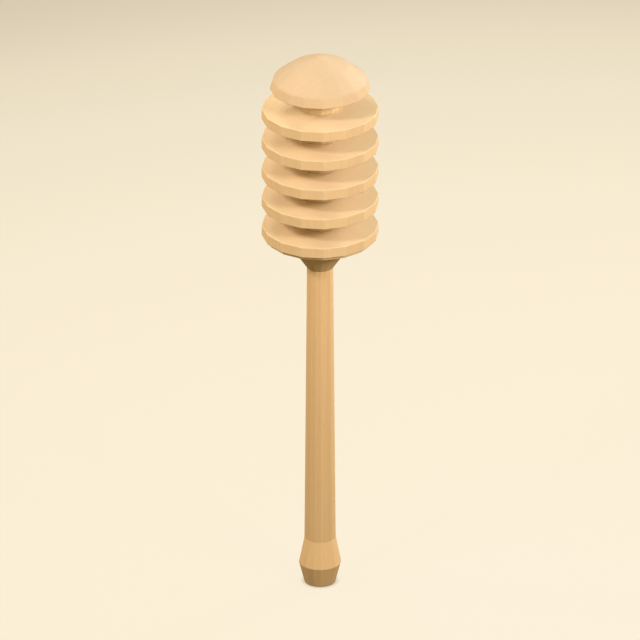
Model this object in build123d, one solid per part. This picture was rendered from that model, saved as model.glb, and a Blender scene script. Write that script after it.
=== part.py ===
from build123d import *
import math
import os

# Honey dipper that stands upright on the flat end of its pommel.
# Lengths are in millimetres. +Z runs up the handle, and the origin is the centre of the foot.
# The turned pieces have flats, so every radius of theirs runs to a corner between two flats.

# Flats
turned_flat_count = 16
core_flat_count = 10
front_corner_degrees = -90

# Pommel
foot_radius = 4.3
pommel_widest_radius = 5.8
pommel_widest_height = 6.0
pommel_height = 13.6

# Handle
handle_foot_radius = 4.3
handle_neck_radius = 3.6
handle_length = 82.1

# Neck collar
collar_height = 8.95
collar_top_radius = 9.7

# Base plate under the lowest disc
plate_radius = 14.9
plate_thickness = 1.05

# Discs and the grooves between them
disc_count = 5
disc_radius = 15.95
disc_thickness = 2.95
groove_height = 5.8
spacer_radius = 5.35

# Dome cap: a nearly upright rim, a sloping shoulder and a flatter crown with a small tip
rim_radius = 13.7
rim_height = 2.9
rim_draft = 0.75
crown_radius = 7.7
shoulder_rise = 4.0
tip_radius = 1.0
crown_rise = 2.5

# Joinery
spindle_radius = 2.0
spindle_in_handle = 14.0
spindle_in_dome = 6.0
tenon_radius = 2.2
tenon_length = 7.5
glue_clearance = 0.05
socket_end_room = 0.5
lead_in = 0.4

# Sharp edges are sanded off by this much
edge_ease = 0.15

# Heights that follow from the sizes above
handle_foot_z = pommel_height
handle_top_z = handle_foot_z + handle_length
collar_top_z = handle_top_z + collar_height
stack_z = collar_top_z + plate_thickness
pitch = disc_thickness + groove_height
dome_z = stack_z + disc_count * pitch


def corner_ring(radius, z, flats):
    """Corners of a regular outline at height z, with one corner facing the front."""
    ring = []
    for index in range(flats):
        angle = math.radians(front_corner_degrees + 360 * index / flats)
        ring.append(Vector(radius * math.cos(angle), radius * math.sin(angle), z))
    return ring


def flatted_solid(profile, flats):
    """Solid with flat sides, from (radius, z) pairs listed upwards."""
    rings = [corner_ring(radius, z, flats) for radius, z in profile]
    faces = [Face(Wire.make_polygon(rings[0]))]
    faces.append(Face(Wire.make_polygon(rings[-1])))
    for lower, upper in zip(rings, rings[1:]):
        for index in range(flats):
            beside = (index + 1) % flats
            corners = [lower[index], lower[beside], upper[beside], upper[index]]
            faces.append(Face(Wire.make_polygon(corners)))
    return Solid(Shell(faces))


def eased_slab(radius, z, thickness):
    """Flat-sided slab whose upper and lower edges are sanded off."""
    inner = radius - edge_ease
    top = z + thickness
    profile = [(inner, z), (radius, z + edge_ease), (radius, top - edge_ease), (inner, top)]
    return flatted_solid(profile, turned_flat_count)


def round_rod(radius, z, length):
    """Round rod that starts at height z and goes up."""
    return Pos(0, 0, z) * Cylinder(radius, length, align=(Align.CENTER, Align.CENTER, Align.MIN))


def pointed_rod(radius, z, length):
    """Round rod whose two ends are chamfered, so that it finds its sockets."""
    rod = round_rod(radius, z, length)
    ends = rod.edges().filter_by(GeomType.CIRCLE)
    return chamfer(ends, lead_in)


def dowel_hole(z, depth):
    """Round hole for the spindle, from height z upwards."""
    return round_rod(spindle_radius + glue_clearance, z, depth)


def make_pommel():
    """Knob with a flat foot and a blind socket for the handle's tenon."""
    profile = [
        (foot_radius, 0),
        (pommel_widest_radius, pommel_widest_height),
        (handle_foot_radius, pommel_height),
    ]
    socket_depth = tenon_length + socket_end_room
    socket = round_rod(tenon_radius + glue_clearance, pommel_height - socket_depth, socket_depth)
    return flatted_solid(profile, turned_flat_count) - socket


def make_handle():
    """Tapered stick with a tenon on its foot and a blind dowel socket in its top."""
    profile = [(handle_foot_radius, handle_foot_z), (handle_neck_radius, handle_top_z)]
    stick = flatted_solid(profile, turned_flat_count)
    tenon = round_rod(tenon_radius, handle_foot_z - tenon_length, tenon_length)
    tenon = chamfer(tenon.edges().filter_by(GeomType.CIRCLE).sort_by(Axis.Z)[0], lead_in)
    socket_depth = spindle_in_handle + socket_end_room
    return stick + tenon - dowel_hole(handle_top_z - socket_depth, socket_depth)


def make_neck_collar():
    """Flared cone between the handle and the head."""
    profile = [(handle_neck_radius, handle_top_z), (collar_top_radius, collar_top_z)]
    return flatted_solid(profile, turned_flat_count) - dowel_hole(handle_top_z, collar_height)


def make_base_plate():
    """Thin plate that the lowest disc sits on."""
    plate = eased_slab(plate_radius, collar_top_z, plate_thickness)
    return plate - dowel_hole(collar_top_z, plate_thickness)


def make_disc(z):
    """One disc of the head, with its underside at height z."""
    return eased_slab(disc_radius, z, disc_thickness) - dowel_hole(z, disc_thickness)


def make_spacer(z):
    """Core piece that holds two discs apart and is the floor of one honey groove."""
    profile = [(spacer_radius, z), (spacer_radius, z + groove_height)]
    return flatted_solid(profile, core_flat_count) - dowel_hole(z, groove_height)


def make_dome_cap():
    """Domed cap with a low rim and a blind dowel socket in its underside."""
    rim_top_z = dome_z + rim_height
    crown_z = rim_top_z + shoulder_rise
    profile = [
        (rim_radius - edge_ease, dome_z),
        (rim_radius, dome_z + edge_ease),
        (rim_radius - rim_draft, rim_top_z),
        (crown_radius, crown_z),
        (tip_radius, crown_z + crown_rise),
    ]
    return flatted_solid(profile, turned_flat_count) - dowel_hole(dome_z, spindle_in_dome + socket_end_room)


def make_spindle():
    """Dowel that carries the head, from the handle's socket into the dome cap."""
    start_z = handle_top_z - spindle_in_handle
    return pointed_rod(spindle_radius, start_z, dome_z + spindle_in_dome - start_z)


nodes = {
    "pommel": make_pommel(),
    "handle": make_handle(),
    "neck_collar": make_neck_collar(),
    "base_plate": make_base_plate(),
    "spindle": make_spindle(),
    "dome_cap": make_dome_cap(),
}

# Discs and spacers are counted from the top of the head
for number in range(1, disc_count + 1):
    disc_z = stack_z + (disc_count - number) * pitch
    nodes[f"disc_{number}"] = make_disc(disc_z)
    nodes[f"spacer_{number}"] = make_spacer(disc_z + disc_thickness)

os.makedirs("parts", exist_ok=True)
for name, solid in nodes.items():
    export_step(solid, f"parts/{name}.step")
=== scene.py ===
import math

import bmesh
import bpy
import numpy as np
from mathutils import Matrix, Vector


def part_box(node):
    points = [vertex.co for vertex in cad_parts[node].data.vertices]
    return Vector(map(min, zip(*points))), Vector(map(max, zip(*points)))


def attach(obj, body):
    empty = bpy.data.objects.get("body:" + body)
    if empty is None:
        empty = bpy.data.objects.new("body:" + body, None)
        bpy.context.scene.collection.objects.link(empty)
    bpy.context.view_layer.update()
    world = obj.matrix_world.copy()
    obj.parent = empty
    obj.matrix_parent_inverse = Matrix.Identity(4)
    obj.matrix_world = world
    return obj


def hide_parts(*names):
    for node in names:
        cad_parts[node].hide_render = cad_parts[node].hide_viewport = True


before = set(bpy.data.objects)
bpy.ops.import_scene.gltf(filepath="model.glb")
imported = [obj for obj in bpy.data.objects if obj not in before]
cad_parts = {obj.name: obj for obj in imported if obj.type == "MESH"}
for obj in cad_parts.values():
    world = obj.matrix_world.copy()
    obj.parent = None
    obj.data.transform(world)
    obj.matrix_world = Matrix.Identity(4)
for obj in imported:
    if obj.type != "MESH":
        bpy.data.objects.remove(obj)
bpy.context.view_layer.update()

# Pommel
# The knob that the dipper stands on: pale beech turned to two cones that meet in a ridge, with
# sixteen flats cut along it. A blind socket bored in its top takes the handle's round tenon in glue.
mm = 0.001
turned_flats = 16
front_corner = math.radians(-90)
flats_meet_easing = 0.22 * mm
edge_easing = 0.16 * mm
joint_easing = 0.1 * mm
glue_clearance = 0.05 * mm
round_wall = 1.0
flat_wall = 0.0


def full_radius(low, high):
    """Radius to the corners of a turned piece, which is half the width of its box."""
    return (high.x - low.x) / 2


def round_radius(radius, flats=turned_flats):
    """Radius R / cos(pi / flats) to write for a round wall, whose roundness brings it back to R."""
    return radius / math.cos(math.pi / flats)


steps_through_bend = [-0.5, 0, 0.25, 0.5, 0.75, 1, 1.5]
parts_of_a_leg = 3


def eased_profile(corners, easing):
    """Profile through the corners, each given as radius, height and roundness, with its bends eased.

    A bend at C starts at A and ends at B, both `easing` away from C or a third of a shorter leg.
    Between them the profile is the curve (1-t)^2 A + 2t(1-t) C + t^2 B, with t from 0 to 1. Where t
    runs on past 0 or 1, the profile follows its straight legs, which keeps them flat beside a bend.
    The last column of the result is the sanding: 1 on a bend and 0 on a leg.
    """
    corners = np.array(corners, float)
    before = corners[:-2] - corners[1:-1]
    after = corners[2:] - corners[1:-1]
    run_before = np.hypot(before[:, 0], before[:, 1])
    run_after = np.hypot(after[:, 0], after[:, 1])
    set_back = np.minimum(easing, np.minimum(run_before, run_after) / parts_of_a_leg)
    start = corners[1:-1] + before * (set_back / run_before)[:, None]
    end = corners[1:-1] + after * (set_back / run_after)[:, None]
    t = np.array(steps_through_bend)[None, :, None]
    on_curve = np.clip(t, 0, 1)
    middle = corners[1:-1][:, None, :]
    start = start[:, None, :]
    end = end[:, None, :]
    points = (1 - on_curve) ** 2 * start + 2 * on_curve * (1 - on_curve) * middle + on_curve**2 * end
    points = points + (start - middle) * np.maximum(-t, 0) + (end - middle) * np.maximum(t - 1, 0)
    sanding = np.broadcast_to((t == on_curve) * 1.0, points[..., :1].shape)
    bends = np.concatenate([points, sanding], axis=2).reshape(-1, 4)
    first = np.append(corners[0], 0)
    last = np.append(corners[-1], 0)
    return np.vstack([first, bends, last])


merge_distance = 0.0005 * mm


def skin(name, grid, wear, loop):
    """Object over a grid of points that closes round its second parameter, and as a loop round both.

    Each face joins four neighbours of the grid. Points that coincide, as at a pole, are then
    merged. The wear of each point is kept in the attribute "sanding", which the wood reads.
    """
    rows, columns = grid.shape[:2]
    number = np.arange(rows * columns).reshape(rows, columns)
    below = number if loop else number[:-1]
    above = np.roll(number, -1, axis=0) if loop else number[1:]
    faces = np.stack([below, np.roll(below, -1, axis=1), np.roll(above, -1, axis=1), above], axis=-1)
    mesh = bpy.data.meshes.new(name)
    mesh.from_pydata(grid.reshape(-1, 3).tolist(), [], faces.reshape(-1, 4).tolist())
    mesh.attributes.new("sanding", "FLOAT", "POINT").data.foreach_set("value", wear)
    shape = bmesh.new()
    shape.from_mesh(mesh)
    bmesh.ops.remove_doubles(shape, verts=shape.verts, dist=merge_distance)
    bmesh.ops.recalc_face_normals(shape, faces=shape.faces)
    shape.to_mesh(mesh)
    shape.free()
    mesh.polygons.foreach_set("use_smooth", np.ones(len(mesh.polygons), bool))
    piece = bpy.data.objects.new(name, mesh)
    bpy.context.scene.collection.objects.link(piece)
    return piece


steps_round_corner = [-1.3, -1, -0.5, 0, 0.5, 1, 1.3]


def turned_piece(name, corners, flats=turned_flats, easing=edge_easing, bored=False):
    """Mesh of a turned piece with flats: one parameter runs along its profile, one round its axis.

    Round the axis, the corner between two flats is an arc of radius e about a centre that lies
    R - e / cos(pi / flats) from the axis, so each flat stays R cos(pi / flats) from the axis. Beyond
    an arc's ends the outline follows the flats. Where the profile's roundness is 1, e grows until
    the outline is a circle. A bored piece's profile is a loop, and its mesh closes along it too.
    """
    if bored:
        profile = eased_profile([corners[-1], *corners, corners[0]], easing)[1:-1]
    else:
        profile = eased_profile(corners, easing)
    radius, height, roundness, sanding = (column[:, None, None] for column in profile.T)
    half_turn = math.pi / flats
    apothem = radius * math.cos(half_turn)
    arc = np.minimum(flats_meet_easing + roundness * (apothem - flats_meet_easing), apothem)
    centre = radius - arc / math.cos(half_turn)
    share = np.array(steps_round_corner)[None, None, :]
    on_arc = np.clip(share, -1, 1)
    corner = front_corner + 2 * half_turn * np.arange(flats)[None, :, None]
    facing = corner + on_arc * half_turn
    slide = (share - on_arc) * centre * math.sin(half_turn)
    x = centre * np.cos(corner) + arc * np.cos(facing) - slide * np.sin(facing)
    y = centre * np.sin(corner) + arc * np.sin(facing) + slide * np.cos(facing)
    z = np.broadcast_to(height, x.shape)
    arc_sanding = (share == on_arc) * (1 - roundness)
    wear = np.maximum(np.broadcast_to(sanding, x.shape), arc_sanding)
    grid = np.stack([x, y, z], axis=-1).reshape(len(profile), -1, 3)
    return skin(name, grid, wear.ravel(), loop=bored)


def feed(tree, socket, value):
    """Wires the value to the socket if another node puts it out, and otherwise sets it there."""
    if isinstance(value, bpy.types.NodeSocket):
        tree.links.new(value, socket)
    else:
        socket.default_value = value


def node(tree, kind, **inputs):
    """Shader node of that kind, with each named input fed its value."""
    made = tree.nodes.new("ShaderNode" + kind)
    for name, value in inputs.items():
        feed(tree, made.inputs[name.replace("_", " ")], value)
    return made


def reckon(tree, kind, operation, *values):
    """Output of a Math or VectorMath node that does the named operation on the values in turn."""
    made = tree.nodes.new("ShaderNode" + kind)
    made.operation = operation
    for socket, value in zip(made.inputs, values):
        feed(tree, socket, value)
    return made.outputs["Value"]


def blend_colour(tree, how, share, first, second):
    """Colour that goes from the first to the second with share, by Blender's blend type `how`."""
    mix = tree.nodes.new("ShaderNodeMix")
    mix.data_type = "RGBA"
    mix.blend_type = how
    share_socket, first_socket, second_socket = mix.inputs[0], mix.inputs[6], mix.inputs[7]
    blended = mix.outputs[2]
    feed(tree, share_socket, share)
    feed(tree, first_socket, first)
    feed(tree, second_socket, second)
    return blended


def stretch(tree, value, low, high, new_low, new_high):
    """Value scaled so that low to high becomes new_low to new_high, and held within them."""
    scaled = node(
        tree, "MapRange", Value=value, From_Min=low, From_Max=high, To_Min=new_low, To_Max=new_high,
    )
    return scaled.outputs["Result"]


# Growth rings. At scale 1, Blender's wave texture turns by 20 radians for each metre
ring_width = 1.5 * mm
wave_radians = 20
ring_scale = 2 * math.pi / wave_radians / ring_width
ring_waver = 2.4
ring_waver_scale = 0.4
ring_contrast = 0.015
pith_distance = 26 * mm

# Clouds, fibres and pores
clouds_per_metre = 110.0
fibres_per_metre = 3800.0
pores_per_metre = 2300.0
noise_low = 0.3
noise_high = 0.7
pores_from = 0.6
pores_full = 0.72
cloud_contrast = 0.015
fibre_contrast = 0.02
pore_contrast = 0.04

# Heights count for only these shares, which draws the patterns out along the dipper
ring_height_share = 0.12
fibre_height_share = 0.04
pore_height_share = 0.1

# Painted shade and edge wear. Each shade comes in between two distances from the axis, two heights or
# two tilts
# Painted shade towards the axis, in the grooves, comes in between these distances
shaded_from = 10.5 * mm
shaded_to = 6.5 * mm
# Painted shade towards the rim of the head comes in between these distances
painted_rim_shade_from = 10.5 * mm
painted_rim_shade_to = 16 * mm
# Painted shade down the handle comes in between these heights
painted_handle_shade_from = 15 * mm
painted_handle_shade_to = 95 * mm
# Painted shade on faces that look down comes in between these tilts
facing_out = -0.1
facing_down = -0.25
painted_underside_shade = 0.84
worn_edge_share = 0.2

# Surface left by fine sandpaper
smooth_fibre = 0.58
rough_fibre = 0.7
dry_wood_gloss = 0.25
relief_strength = 0.25
relief_depth = 0.02 * mm


def turned_wood(
    name, pith_bearing, long_grain, end_grain_and_painted_light, painted_shade_at_axis=1.0, painted_shade_at_rim=1.0, painted_shade_at_foot=1.0,
):
    """Fine sanded, unvarnished pale wood whose fibres run up the dipper, from Object coordinates.

    Growth rings are waves in the distance from a pith that lies off the piece, so they show as
    lines up the sides and as arcs over the ends. Fibres and pores are noise drawn out along Z,
    because heights count for only a share there. End grain takes over from long grain with the
    upward or downward tilt of the surface, and a little where edges are sanded. The colour given
    for end grain is partly painted light on the faces that look up or down.

    The colour is multiplied by the shades of rings, clouds, fibres and pores, and by four painted
    shades. Faces that look down get painted shade. Towards the dipper's axis, in the grooves
    between the discs, painted shade brings the colour down to the share given for the axis. Towards
    the rim of the head painted shade brings it to the share given for the rim, and down the handle
    painted shade brings it to the share given for the foot, so it is darker towards the bottom.
    """
    material = bpy.data.materials.new(name)
    material.use_nodes = True
    tree = material.node_tree
    shader = tree.nodes["Principled BSDF"]
    coordinates = node(tree, "TexCoord")
    place = coordinates.outputs["Object"]
    pith = (pith_distance * math.cos(pith_bearing), pith_distance * math.sin(pith_bearing), 0)
    along_rings = node(tree, "Mapping", Vector=place, Location=pith, Scale=(1, 1, ring_height_share))
    along_fibres = node(tree, "Mapping", Vector=place, Location=pith, Scale=(1, 1, fibre_height_share))
    along_pores = node(tree, "Mapping", Vector=place, Location=pith, Scale=(1, 1, pore_height_share))

    rings = node(
        tree, "TexWave", Vector=along_rings.outputs[0], Scale=ring_scale, Distortion=ring_waver,
        Detail=2.0, Detail_Scale=ring_waver_scale,
    )
    rings.wave_type = "RINGS"
    rings.rings_direction = "Z"
    rings.wave_profile = "SAW"
    clouds = node(tree, "TexNoise", Vector=along_rings.outputs[0], Scale=clouds_per_metre, Detail=2.0)
    fibres = node(tree, "TexNoise", Vector=along_fibres.outputs[0], Scale=fibres_per_metre, Detail=2.0)
    pores = node(tree, "TexNoise", Vector=along_pores.outputs[0], Scale=pores_per_metre, Detail=1.0)

    tilt = node(tree, "SeparateXYZ", Vector=coordinates.outputs["Normal"]).outputs["Z"]
    height = node(tree, "SeparateXYZ", Vector=place).outputs["Z"]
    across = node(tree, "Mapping", Vector=place, Scale=(1, 1, 0))
    from_axis = reckon(tree, "VectorMath", "LENGTH", across.outputs[0])
    fibre_fac = fibres.outputs["Fac"]
    cloud_fac = clouds.outputs["Fac"]
    fibre_shade = stretch(tree, fibre_fac, noise_low, noise_high, 1 - fibre_contrast, 1 + fibre_contrast)
    shade = stretch(tree, rings.outputs["Fac"], 0.0, 1.0, 1 + ring_contrast, 1 - ring_contrast)
    for further_shade in (
        stretch(tree, cloud_fac, noise_low, noise_high, 1 - cloud_contrast, 1 + cloud_contrast),
        fibre_shade,
        stretch(tree, pores.outputs["Fac"], pores_from, pores_full, 1.0, 1 - pore_contrast),
        # Painted shade towards the axis, in the grooves between the discs
        stretch(tree, from_axis, shaded_to, shaded_from, painted_shade_at_axis, 1.0),
        # Painted shade towards the rim of the head
        stretch(tree, from_axis, painted_rim_shade_from, painted_rim_shade_to, 1.0, painted_shade_at_rim),
        # Painted shade down the handle, darker towards the foot
        stretch(tree, height, painted_handle_shade_from, painted_handle_shade_to, painted_shade_at_foot, 1.0),
        # Painted shade on faces that look down
        stretch(tree, tilt, facing_down, facing_out, painted_underside_shade, 1.0),
    ):
        shade = reckon(tree, "Math", "MULTIPLY", shade, further_shade)

    # End grain, with its painted light on faces that look up or down, comes in with the tilt
    upward = reckon(tree, "Math", "ABSOLUTE", tilt)
    plain = blend_colour(tree, "MIX", upward, long_grain, end_grain_and_painted_light)
    grained = blend_colour(tree, "MULTIPLY", 1.0, plain, shade)
    sanded = node(tree, "Attribute")
    sanded.attribute_name = "sanding"
    edge_share = stretch(tree, sanded.outputs["Fac"], 0.0, 1.0, 0.0, worn_edge_share)
    feed(tree, shader.inputs["Base Color"], blend_colour(tree, "MIX", edge_share, grained, end_grain_and_painted_light))

    roughness = stretch(tree, fibre_fac, noise_low, noise_high, smooth_fibre, rough_fibre)
    feed(tree, shader.inputs["Roughness"], roughness)
    feed(tree, shader.inputs["Specular IOR Level"], dry_wood_gloss)
    relief = node(tree, "Bump", Strength=relief_strength, Distance=relief_depth, Height=fibre_shade)
    feed(tree, shader.inputs["Normal"], relief.outputs[0])
    return material


def finish_piece(piece, cad_node, material):
    """Gives the piece its wood and lets it stand for the CAD node of the dipper."""
    piece.data.materials.append(material)
    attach(piece, "root")
    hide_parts(cad_node)


foot, knob_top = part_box("pommel")
stick_low, stick_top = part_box("handle")
foot_radius = 4.3 * mm
ridge_radius = full_radius(foot, knob_top)
ridge_height = 6.0 * mm
handle_foot_radius = full_radius(stick_low, stick_top)
tenon_radius = 2.2 * mm
tenon_hole_wall = round_radius(tenon_radius + glue_clearance)
tenon_end_room = 0.5 * mm
tenon_hole_z = stick_low.z - tenon_end_room
pommel = turned_piece("turned_pommel", [
    (0, foot.z, flat_wall),
    (foot_radius, foot.z, flat_wall),
    (ridge_radius, foot.z + ridge_height, flat_wall),
    (handle_foot_radius, knob_top.z, flat_wall),
    (tenon_hole_wall, knob_top.z, round_wall),
    (tenon_hole_wall, tenon_hole_z, round_wall),
    (0, tenon_hole_z, round_wall),
], easing=joint_easing)
stick_grain = (0.79, 0.523, 0.277, 1)
pommel_wood = turned_wood(
    "pommel_wood", pith_bearing=0.4, long_grain=stick_grain, end_grain_and_painted_light=stick_grain,
)
finish_piece(pommel, "pommel", pommel_wood)

# Handle
# A straight tapered stick of the same wood, turned between centres and given sixteen long flats.
# Its foot ends in a round tenon, glued into the pommel, and its top is bored for the dowel.
handle_neck_radius = 3.6 * mm
tenon_wall = round_radius(tenon_radius)
tenon_lead_in = 0.4 * mm
dowel_low, dowel_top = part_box("spindle")
dowel_radius = 2.0 * mm
dowel_hole_wall = round_radius(dowel_radius + glue_clearance)
dowel_end_room = 0.5 * mm
dowel_hole_z = dowel_low.z - dowel_end_room
handle = turned_piece("turned_handle", [
    (0, stick_low.z, round_wall),
    (tenon_wall - tenon_lead_in, stick_low.z, round_wall),
    (tenon_wall, stick_low.z + tenon_lead_in, round_wall),
    (tenon_wall, knob_top.z, round_wall),
    (handle_foot_radius, knob_top.z, flat_wall),
    (handle_neck_radius, stick_top.z, flat_wall),
    (dowel_hole_wall, stick_top.z, round_wall),
    (dowel_hole_wall, dowel_hole_z, round_wall),
    (0, dowel_hole_z, round_wall),
], easing=joint_easing)
# Painted shade darkens the handle towards its foot; its grain is lighter than stick_grain to make up for
# it at the top
handle_grain = (0.845, 0.558, 0.295, 1)
painted_handle_foot_shade = 0.89
handle_wood = turned_wood(
    "handle_wood", pith_bearing=2.3, long_grain=handle_grain, end_grain_and_painted_light=handle_grain,
    painted_shade_at_foot=painted_handle_foot_shade,
)
finish_piece(handle, "handle", handle_wood)

# Neck collar
# A flared cone between the handle and the head, turned and flatted like them and bored right
# through. It is threaded on the dowel and glued on top of the handle.
collar_low, collar_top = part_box("neck_collar")
collar_top_radius = full_radius(collar_low, collar_top)
collar = turned_piece("turned_neck_collar", [
    (handle_neck_radius, collar_low.z, flat_wall),
    (collar_top_radius, collar_top.z, flat_wall),
    (dowel_hole_wall, collar_top.z, round_wall),
    (dowel_hole_wall, collar_low.z, round_wall),
], easing=joint_easing, bored=True)
collar_wood = turned_wood(
    "collar_wood", pith_bearing=4.1, long_grain=stick_grain, end_grain_and_painted_light=stick_grain,
)
finish_piece(collar, "neck_collar", collar_wood)

# Base plate and discs
# Slices of a thicker turned rod, each bored and threaded on the dowel. The thin base plate closes
# the head below, and the discs hold the honey between them. Their edges are lightly sanded.
head_long_grain = (0.90, 0.616, 0.348, 1)
# Faces that look up take this colour: end grain, made paler as painted light on the disc tops
head_end_grain_and_painted_light = (0.86, 0.655, 0.41, 1)
# Painted shade: the disc tops darken towards the axis, in the grooves
painted_shade_in_grooves = 0.93
# Painted shade: the head darkens towards its rim
painted_head_rim_shade = 0.92


def turned_slab(cad_node, pith_bearing, grooves_painted_shade=1.0):
    """Flat disc with sixteen flats on its rim and a round hole, as high and wide as its CAD node.

    It gets the wood of the head and stands for that node.
    """
    low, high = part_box(cad_node)
    radius = full_radius(low, high)
    slab = turned_piece(f"turned_{cad_node}", [
        (radius, low.z, flat_wall),
        (radius, high.z, flat_wall),
        (dowel_hole_wall, high.z, round_wall),
        (dowel_hole_wall, low.z, round_wall),
    ], bored=True)
    wood = turned_wood(
        f"{cad_node}_wood", pith_bearing, long_grain=head_long_grain, end_grain_and_painted_light=head_end_grain_and_painted_light,
        painted_shade_at_axis=grooves_painted_shade, painted_shade_at_rim=painted_head_rim_shade,
    )
    finish_piece(slab, cad_node, wood)


turned_slab("base_plate", pith_bearing=0.9)
disc_count = 5
# The pith is turned on by the golden angle from disc to disc, so no two show the same grain
golden_angle = math.pi * (3 - math.sqrt(5))
for number in range(1, disc_count + 1):
    turned_slab(f"disc_{number}", pith_bearing=golden_angle * number, grooves_painted_shade=painted_shade_in_grooves)

# Spacers
# Short pieces of slimmer stock between the discs, with ten flats. Each one sets the width of a
# honey groove and is its floor. They are threaded on the same dowel.
spacer_flats = 10
spacer_hole_wall = round_radius(dowel_radius + glue_clearance, spacer_flats)
# Darker than the head's wood, partly as painted shade for the depth of the grooves
core_grain_and_groove_shade = (0.74, 0.54, 0.31, 1)
core_pith_turn = 1
for number in range(1, disc_count + 1):
    low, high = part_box(f"spacer_{number}")
    # Ten flats with a corner in front reach the full radius only from front to back
    spacer_radius = (high.y - low.y) / 2
    spacer = turned_piece(f"turned_spacer_{number}", [
        (spacer_radius, low.z, flat_wall),
        (spacer_radius, high.z, flat_wall),
        (spacer_hole_wall, high.z, round_wall),
        (spacer_hole_wall, low.z, round_wall),
    ], flats=spacer_flats, bored=True)
    wood = turned_wood(
        f"spacer_{number}_wood", pith_bearing=golden_angle * number + core_pith_turn,
        long_grain=core_grain_and_groove_shade, end_grain_and_painted_light=core_grain_and_groove_shade,
    )
    finish_piece(spacer, f"spacer_{number}", wood)

# Dome cap
# The end of the head: a nearly upright rim, a sloping shoulder and a flatter crown, with worn flats.
# It has a blind hole in its underside and is glued on the end of the dowel, over the top spacer.
cap_low, cap_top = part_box("dome_cap")
rim_radius = full_radius(cap_low, cap_top)
rim_chamfer = 0.15 * mm
rim_draft = 0.75 * mm
rim_height = 2.9 * mm
rim_top_z = cap_low.z + rim_height
shoulder_rise = 4.0 * mm
crown_radius = 7.7 * mm
crown_z = rim_top_z + shoulder_rise
tip_radius = 1.0 * mm
cap_hole_z = dowel_top.z + dowel_end_room
worn_wall = 0.5
worn_easing = 0.6 * mm
dome_cap = turned_piece("turned_dome_cap", [
    (0, cap_hole_z, round_wall),
    (dowel_hole_wall, cap_hole_z, round_wall),
    (dowel_hole_wall, cap_low.z, round_wall),
    (rim_radius - rim_chamfer, cap_low.z, flat_wall),
    (rim_radius, cap_low.z + rim_chamfer, flat_wall),
    (rim_radius - rim_draft, rim_top_z, worn_wall),
    (crown_radius, crown_z, worn_wall),
    (tip_radius, cap_top.z, worn_wall),
    (0, cap_top.z, worn_wall),
], easing=worn_easing)
cap_long_grain = (0.78, 0.53, 0.31, 1)
# Faces that look up take this colour: end grain, made darker as painted shade on the dome
cap_end_grain_and_painted_light = (0.60, 0.448, 0.305, 1)
cap_wood = turned_wood(
    "dome_cap_wood", pith_bearing=5.2, long_grain=cap_long_grain, end_grain_and_painted_light=cap_end_grain_and_painted_light,
)
finish_piece(dome_cap, "dome_cap", cap_wood)

# Spindle
# The round dowel inside, cut from straight-grained rod with chamfered ends and glued into the
# handle and the dome cap. Nothing of it shows, so its own solid stays and only gets its wood.
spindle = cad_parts["spindle"]
spindle.data.materials.clear()
spindle_wood = turned_wood(
    "spindle_wood", pith_bearing=3.3, long_grain=core_grain_and_groove_shade, end_grain_and_painted_light=core_grain_and_groove_shade,
)
spindle.data.materials.append(spindle_wood)

# Floor
# A wide pale table top for the dipper to stand on. The camera sees a cream with a painted pool
# of light that darkens far off and a painted contact shadow close round the foot, and a small share
# of lit card in it keeps the dipper's shadow. All other rays meet plain darker card.
floor_reach = 12.0
floor_mesh = bpy.data.meshes.new("floor")
side = np.array([-floor_reach, floor_reach])
floor_grid = np.stack(np.meshgrid(side, side), axis=-1).reshape(-1, 2)
floor_corners = np.column_stack([floor_grid, np.zeros(len(floor_grid))])
floor_mesh.from_pydata(floor_corners.tolist(), [], [(0, 1, 3, 2)])
floor = bpy.data.objects.new("floor", floor_mesh)
bpy.context.scene.collection.objects.link(floor)

card_seen = 0.04
pale_card = (0.9, 0.83, 0.66, 1)
warm_card = (0.176, 0.139, 0.066, 1)
# Centre, reach and colours of the painted pool of light on the cream
painted_light_pool_centre = (0.057, -0.015, 0)
painted_light_pool_reach = 0.42
# Painted contact shadow: reach and depth of the darkening of the cream round the foot
contact_shadow_reach = 2 * mm
foot_shade = 0.6
closed_in = 0.3
open_air = 0.8
light_pool_stops = {
    0.00: (0.964, 0.859, 0.705, 1),
    0.15: (0.959, 0.855, 0.682, 1),
    0.35: (0.949, 0.849, 0.667, 1),
    0.50: (0.938, 0.836, 0.655, 1),
    0.65: (0.905, 0.808, 0.622, 1),
    0.80: (0.848, 0.759, 0.578, 1),
    0.90: (0.784, 0.680, 0.515, 1),
    1.00: (0.674, 0.581, 0.442, 1),
}
cream = bpy.data.materials.new("cream_floor")
cream.use_nodes = True
tree = cream.node_tree
tree.nodes.clear()
from_centre = tree.nodes.new("ShaderNodeMapping")
from_centre.vector_type = "TEXTURE"
feed(tree, from_centre.inputs["Vector"], node(tree, "TexCoord").outputs["Object"])
feed(tree, from_centre.inputs["Location"], painted_light_pool_centre)
feed(tree, from_centre.inputs["Scale"], (painted_light_pool_reach, painted_light_pool_reach, painted_light_pool_reach))
# Painted pool of light: the cream darkens with the distance from its centre
painted_light_pool = node(tree, "ValToRGB", Fac=reckon(tree, "VectorMath", "LENGTH", from_centre.outputs[0]))
painted_light_pool.color_ramp.interpolation = "CARDINAL"
stops = painted_light_pool.color_ramp.elements
near, *between, far = light_pool_stops
stops[0].position = near
stops[0].color = light_pool_stops[near]
stops[1].position = far
stops[1].color = light_pool_stops[far]
for position in between:
    stops.new(position).color = light_pool_stops[position]
# Painted contact shadow round the foot, from ambient occlusion
contact_shadow = node(tree, "AmbientOcclusion", Distance=contact_shadow_reach)
painted_foot_shadow = stretch(tree, contact_shadow.outputs["AO"], closed_in, open_air, foot_shade, 1.0)
painted_cream_colour = blend_colour(tree, "MULTIPLY", 1.0, painted_light_pool.outputs[0], painted_foot_shadow)
painted_cream = node(tree, "Emission", Color=painted_cream_colour, Strength=1.0)
lit_card = node(tree, "BsdfDiffuse", Color=pale_card)
darker_card = node(tree, "BsdfDiffuse", Color=warm_card)


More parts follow.
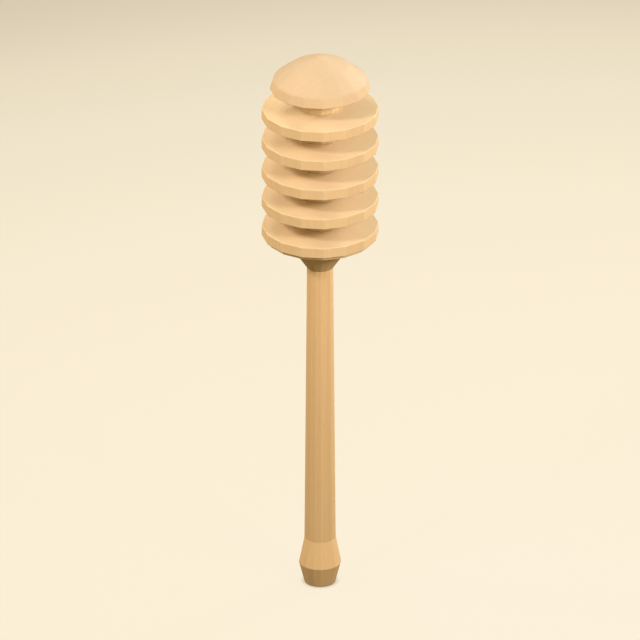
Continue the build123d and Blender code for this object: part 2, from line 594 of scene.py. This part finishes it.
def either_shader(tree, share, first, second):
    """Mix of two shaders: the first, with that share of the second in its place."""
    mix = node(tree, "MixShader", Fac=share)
    feed(tree, mix.inputs[1], first.outputs[0])
    feed(tree, mix.inputs[2], second.outputs[0])
    return mix


camera_ray = node(tree, "LightPath").outputs["Is Camera Ray"]
camera_view = either_shader(tree, card_seen, painted_cream, lit_card)
table_top = either_shader(tree, camera_ray, darker_card, camera_view)
node(tree, "OutputMaterial", Surface=table_top.outputs[0])
floor.data.materials.append(cream)

# Studio light
# Six round soft lamps about half a metre away, in a room that is softly lit and slightly warm. Three
# are in front, two of them on the right. One stands on the left, and two stand behind.
lamp_distance = 0.45
lamp_target = Vector((0, 0, 0.11))
camera_turn = math.radians(3.7)
# Each lamp's bearing to the right of the camera and its rise, in degrees, its width in metres, its
# power in watts, and its colour
lamps = {
    "right_lamp": (38, 30, 0.08, 0.83, (1.0, 1.0, 0.66)),
    "far_right_lamp": (56, 29, 0.10, 0.62, (0.92, 0.74, 1.0)),
    "left_lamp": (-44, 40, 0.06, 0.81, (1.0, 0.83, 0.80)),
    "side_lamp": (-100, 32, 0.12, 0.69, (1.0, 0.92, 0.67)),
    "back_left_lamp": (-146, 50, 0.14, 0.42, (1.0, 0.80, 0.66)),
    "back_right_lamp": (132, 20, 0.10, 1.28, (1.0, 0.97, 0.89)),
}


def direction(turn, rise):
    """Unit vector that points to the front, turned to the right by turn and raised by rise."""
    return Vector((math.sin(turn) * math.cos(rise), -math.cos(turn) * math.cos(rise), math.sin(rise)))


def look_back(thing, target, towards, distance):
    """Puts a lamp or camera in the scene, at target + towards * distance, looking back at target."""
    thing.location = target + towards * distance
    thing.rotation_mode = "QUATERNION"
    thing.rotation_quaternion = (-towards).to_track_quat("-Z", "Y")
    bpy.context.scene.collection.objects.link(thing)


for name, (bearing, rise, width, power, colour) in lamps.items():
    light = bpy.data.lights.new(name, "AREA")
    light.shape = "DISK"
    light.size = width
    light.energy = power
    light.color = colour
    lamp = bpy.data.objects.new(name, light)
    towards = direction(math.radians(bearing) - camera_turn, math.radians(rise))
    look_back(lamp, lamp_target, towards, lamp_distance)

room_light = (0.46, 0.465, 0.335, 1)
world = bpy.data.worlds.new("studio")
world.use_nodes = True
tree = world.node_tree
room = tree.nodes["Background"]
feed(tree, room.inputs["Color"], room_light)
backdrop = node(tree, "Background", Color=light_pool_stops[far])
camera_ray = node(tree, "LightPath").outputs["Is Camera Ray"]
surroundings = either_shader(tree, camera_ray, room, backdrop)
feed(tree, tree.nodes["World Output"].inputs["Surface"], surroundings.outputs[0])
bpy.context.scene.world = world

# Camera
# A long lens in front of the dipper and above it, a few degrees to its left, at the photograph's
# viewing angle. It looks at the middle of the picture, which is half way up the dipper.
picture_side_px = 640
axis_x_px = 320.07
sensor_width_mm = 36
# The camera stands lens_px times mm_per_px away, so that one pixel spans mm_per_px at the dipper
lens_px = 20000
mm_per_px = 0.2731
camera_rise = math.radians(25.87)
looked_at = Vector((0, 0, 79.49 * mm))
nearest_seen_m = 0.1
farthest_seen_m = 30
camera_data = bpy.data.cameras.new("camera")
camera_data.sensor_width = sensor_width_mm
camera_data.lens = sensor_width_mm / picture_side_px * lens_px
camera_data.shift_x = (picture_side_px / 2 - axis_x_px) / picture_side_px
camera_data.clip_start = nearest_seen_m
camera_data.clip_end = farthest_seen_m
camera = bpy.data.objects.new("camera", camera_data)
look_back(camera, looked_at, direction(-camera_turn, camera_rise), lens_px * mm_per_px * mm)
bpy.context.scene.camera = camera
bpy.context.scene.view_settings.view_transform = "Standard"
